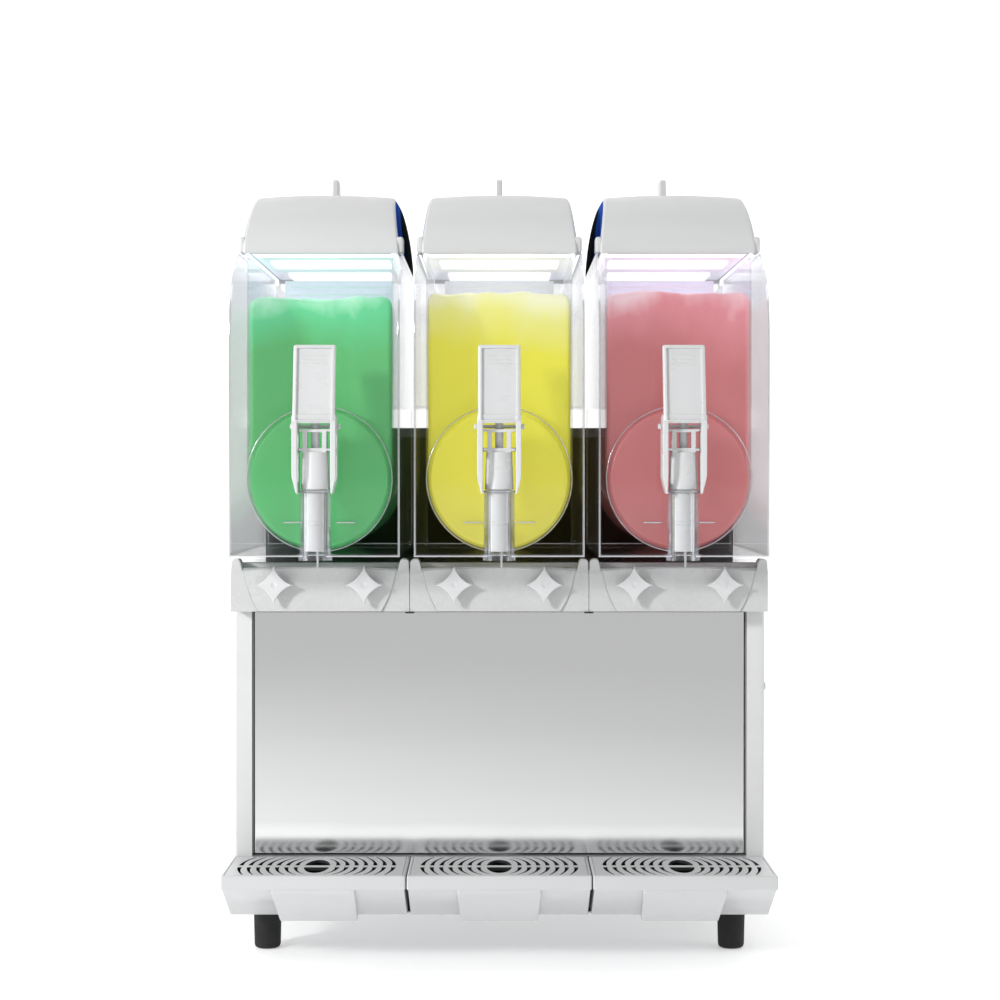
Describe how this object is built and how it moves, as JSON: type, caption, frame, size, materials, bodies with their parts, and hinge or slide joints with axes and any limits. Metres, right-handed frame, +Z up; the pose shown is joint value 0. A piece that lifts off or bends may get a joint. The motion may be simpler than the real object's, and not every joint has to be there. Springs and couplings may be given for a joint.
{
  "type": "slushie machine",
  "caption": "Counter-top frozen drink machine with clear bowls over cooled augers, pull taps, lift-off lids and slide-out drip trays.",
  "frame": {"origin": "on the floor under the centre of the bounding box", "axes": "+Z up, -Y towards the front (taps and trays), +X to the right seen from the front"},
  "size_m": [0.6068, 0.53, 0.9015],
  "materials": {
    "white_plastic": "satin moulded white",
    "white_paint": "powder-coated white",
    "lid_plastic": "satin light grey",
    "clear_plastic": "clear polycarbonate",
    "brushed_steel": "fine brushed, half mirror",
    "zinc_plate": "zinc-plated sheet",
    "copper": "drawn copper tube",
    "black_enamel": "black enamel",
    "black_plastic": "matt moulded black",
    "rubber": "moulded black rubber",
    "silicone": "soft white silicone",
    "slush_green": "wet green slush, the contents",
    "slush_yellow": "wet yellow slush, the contents",
    "slush_pink": "wet pink slush, the contents",
    "led_light": "lit diffuser strip",
    "blue_plastic": "translucent blue band"
  },
  "bodies": {
    "root": {"chassis": "zinc_plate", "side_panel_left": "white_paint", "side_panel_right": "white_paint", "front_panel": "brushed_steel", "top_deck": "white_paint", "motor_cover": "black_plastic", "foot_front_left": "rubber", "foot_front_right": "rubber", "foot_rear_left": "rubber", "foot_rear_right": "rubber", "compressor": "black_enamel", "condenser": "zinc_plate", "fan_motor": "zinc_plate", "refrigerant_line": "copper", "control_box": "zinc_plate", "power_inlet": "black_plastic", "fascia_1": "white_plastic", "outer_shell_1": "clear_plastic", "tank_1": "clear_plastic", "tank_seal_1": "silicone", "evaporator_1": "brushed_steel", "gearmotor_1": "zinc_plate", "fascia_2": "white_plastic", "outer_shell_2": "clear_plastic", "tank_2": "clear_plastic", "tank_seal_2": "silicone", "evaporator_2": "brushed_steel", "gearmotor_2": "zinc_plate", "fascia_3": "white_plastic", "outer_shell_3": "clear_plastic", "tank_3": "clear_plastic", "tank_seal_3": "silicone", "evaporator_3": "brushed_steel", "gearmotor_3": "zinc_plate"},
    "condenser_fan": {"condenser_fan": "black_plastic"},
    "power_switch": {"power_switch": "black_plastic"},
    "auger_1": {"auger_1": "white_plastic"},
    "lid_1": {"lid_1": "lid_plastic"},
    "tap_piston_1": {"tap_piston_1": "white_plastic"},
    "tap_lever_1": {"tap_lever_1": "white_plastic"},
    "knob_left_1": {"knob_left_1": "white_plastic"},
    "knob_right_1": {"knob_right_1": "white_plastic"},
    "drip_tray_1": {"drip_tray_1": "white_plastic"},
    "drip_grille_1": {"drip_grille_1": "white_plastic"},
    "auger_2": {"auger_2": "white_plastic"},
    "lid_2": {"lid_2": "lid_plastic"},
    "tap_piston_2": {"tap_piston_2": "white_plastic"},
    "tap_lever_2": {"tap_lever_2": "white_plastic"},
    "knob_left_2": {"knob_left_2": "white_plastic"},
    "knob_right_2": {"knob_right_2": "white_plastic"},
    "drip_tray_2": {"drip_tray_2": "white_plastic"},
    "drip_grille_2": {"drip_grille_2": "white_plastic"},
    "auger_3": {"auger_3": "white_plastic"},
    "lid_3": {"lid_3": "lid_plastic"},
    "tap_piston_3": {"tap_piston_3": "white_plastic"},
    "tap_lever_3": {"tap_lever_3": "white_plastic"},
    "knob_left_3": {"knob_left_3": "white_plastic"},
    "knob_right_3": {"knob_right_3": "white_plastic"},
    "drip_tray_3": {"drip_tray_3": "white_plastic"},
    "drip_grille_3": {"drip_grille_3": "white_plastic"}
  },
  "joints": [
    {"name": "fan_spin", "type": "hinge", "parent": "root", "child": "condenser_fan", "pos_m": [0.13, 0.18, 0.21], "axis": [0, 1, 0], "continuous": true},
    {"name": "switch_rock", "type": "hinge", "parent": "root", "child": "power_switch", "pos_m": [-0.19, 0.256, 0.13], "axis": [1, 0, 0], "range_deg": [0, 14]},
    {"name": "auger_spin_1", "type": "hinge", "parent": "root", "child": "auger_1", "pos_m": [-0.2, 0, 0.5365], "axis": [0, 1, 0], "continuous": true},
    {"name": "lid_lift_1", "type": "slide", "parent": "root", "child": "lid_1", "axis": [0, 0, 1], "range_m": [0, 0.12]},
    {"name": "piston_rise_1", "type": "slide", "parent": "root", "child": "tap_piston_1", "axis": [0, 0, 1], "range_m": [0, 0.018]},
    {"name": "lever_pull_1", "type": "hinge", "parent": "tap_piston_1", "child": "tap_lever_1", "pos_m": [-0.2, -0.2365, 0.5935], "axis": [1, 0, 0], "range_deg": [0, 30], "stiffness_Nm_per_rad": 0.6, "springref_deg": -11.46},
    {"name": "knob_left_turn_1", "type": "hinge", "parent": "root", "child": "knob_left_1", "pos_m": [-0.25, -0.19, 0.4188], "axis": [0, 1, 0], "range_deg": [0, 90]},
    {"name": "knob_right_turn_1", "type": "hinge", "parent": "root", "child": "knob_right_1", "pos_m": [-0.15, -0.19, 0.4188], "axis": [0, 1, 0], "range_deg": [0, 90]},
    {"name": "tray_slide_1", "type": "slide", "parent": "root", "child": "drip_tray_1", "axis": [0, -1, 0], "range_m": [0, 0.14]},
    {"name": "grille_lift_1", "type": "slide", "parent": "drip_tray_1", "child": "drip_grille_1", "axis": [0, 0, 1], "range_m": [0, 0.06]},
    {"name": "auger_spin_2", "type": "hinge", "parent": "root", "child": "auger_2", "pos_m": [0, 0, 0.5365], "axis": [0, 1, 0], "continuous": true},
    {"name": "lid_lift_2", "type": "slide", "parent": "root", "child": "lid_2", "axis": [0, 0, 1], "range_m": [0, 0.12]},
    {"name": "piston_rise_2", "type": "slide", "parent": "root", "child": "tap_piston_2", "axis": [0, 0, 1], "range_m": [0, 0.018]},
    {"name": "lever_pull_2", "type": "hinge", "parent": "tap_piston_2", "child": "tap_lever_2", "pos_m": [0, -0.2365, 0.5935], "axis": [1, 0, 0], "range_deg": [0, 30], "stiffness_Nm_per_rad": 0.6, "springref_deg": -11.46},
    {"name": "knob_left_turn_2", "type": "hinge", "parent": "root", "child": "knob_left_2", "pos_m": [-0.05, -0.19, 0.4188], "axis": [0, 1, 0], "range_deg": [0, 90]},
    {"name": "knob_right_turn_2", "type": "hinge", "parent": "root", "child": "knob_right_2", "pos_m": [0.05, -0.19, 0.4188], "axis": [0, 1, 0], "range_deg": [0, 90]},
    {"name": "tray_slide_2", "type": "slide", "parent": "root", "child": "drip_tray_2", "axis": [0, -1, 0], "range_m": [0, 0.14]},
    {"name": "grille_lift_2", "type": "slide", "parent": "drip_tray_2", "child": "drip_grille_2", "axis": [0, 0, 1], "range_m": [0, 0.06]},
    {"name": "auger_spin_3", "type": "hinge", "parent": "root", "child": "auger_3", "pos_m": [0.2, 0, 0.5365], "axis": [0, 1, 0], "continuous": true},
    {"name": "lid_lift_3", "type": "slide", "parent": "root", "child": "lid_3", "axis": [0, 0, 1], "range_m": [0, 0.12]},
    {"name": "piston_rise_3", "type": "slide", "parent": "root", "child": "tap_piston_3", "axis": [0, 0, 1], "range_m": [0, 0.018]},
    {"name": "lever_pull_3", "type": "hinge", "parent": "tap_piston_3", "child": "tap_lever_3", "pos_m": [0.2, -0.2365, 0.5935], "axis": [1, 0, 0], "range_deg": [0, 30], "stiffness_Nm_per_rad": 0.6, "springref_deg": -11.46},
    {"name": "knob_left_turn_3", "type": "hinge", "parent": "root", "child": "knob_left_3", "pos_m": [0.15, -0.19, 0.4188], "axis": [0, 1, 0], "range_deg": [0, 90]},
    {"name": "knob_right_turn_3", "type": "hinge", "parent": "root", "child": "knob_right_3", "pos_m": [0.25, -0.19, 0.4188], "axis": [0, 1, 0], "range_deg": [0, 90]},
    {"name": "tray_slide_3", "type": "slide", "parent": "root", "child": "drip_tray_3", "axis": [0, -1, 0], "range_m": [0, 0.14]},
    {"name": "grille_lift_3", "type": "slide", "parent": "drip_tray_3", "child": "drip_grille_3", "axis": [0, 0, 1], "range_m": [0, 0.06]}
  ],
  "couplings": [
    {"joint": "piston_rise_1", "follows": "lever_pull_1", "m_per_rad": 0.0343},
    {"joint": "piston_rise_2", "follows": "lever_pull_2", "m_per_rad": 0.0343},
    {"joint": "piston_rise_3", "follows": "lever_pull_3", "m_per_rad": 0.0343}
  ]
}
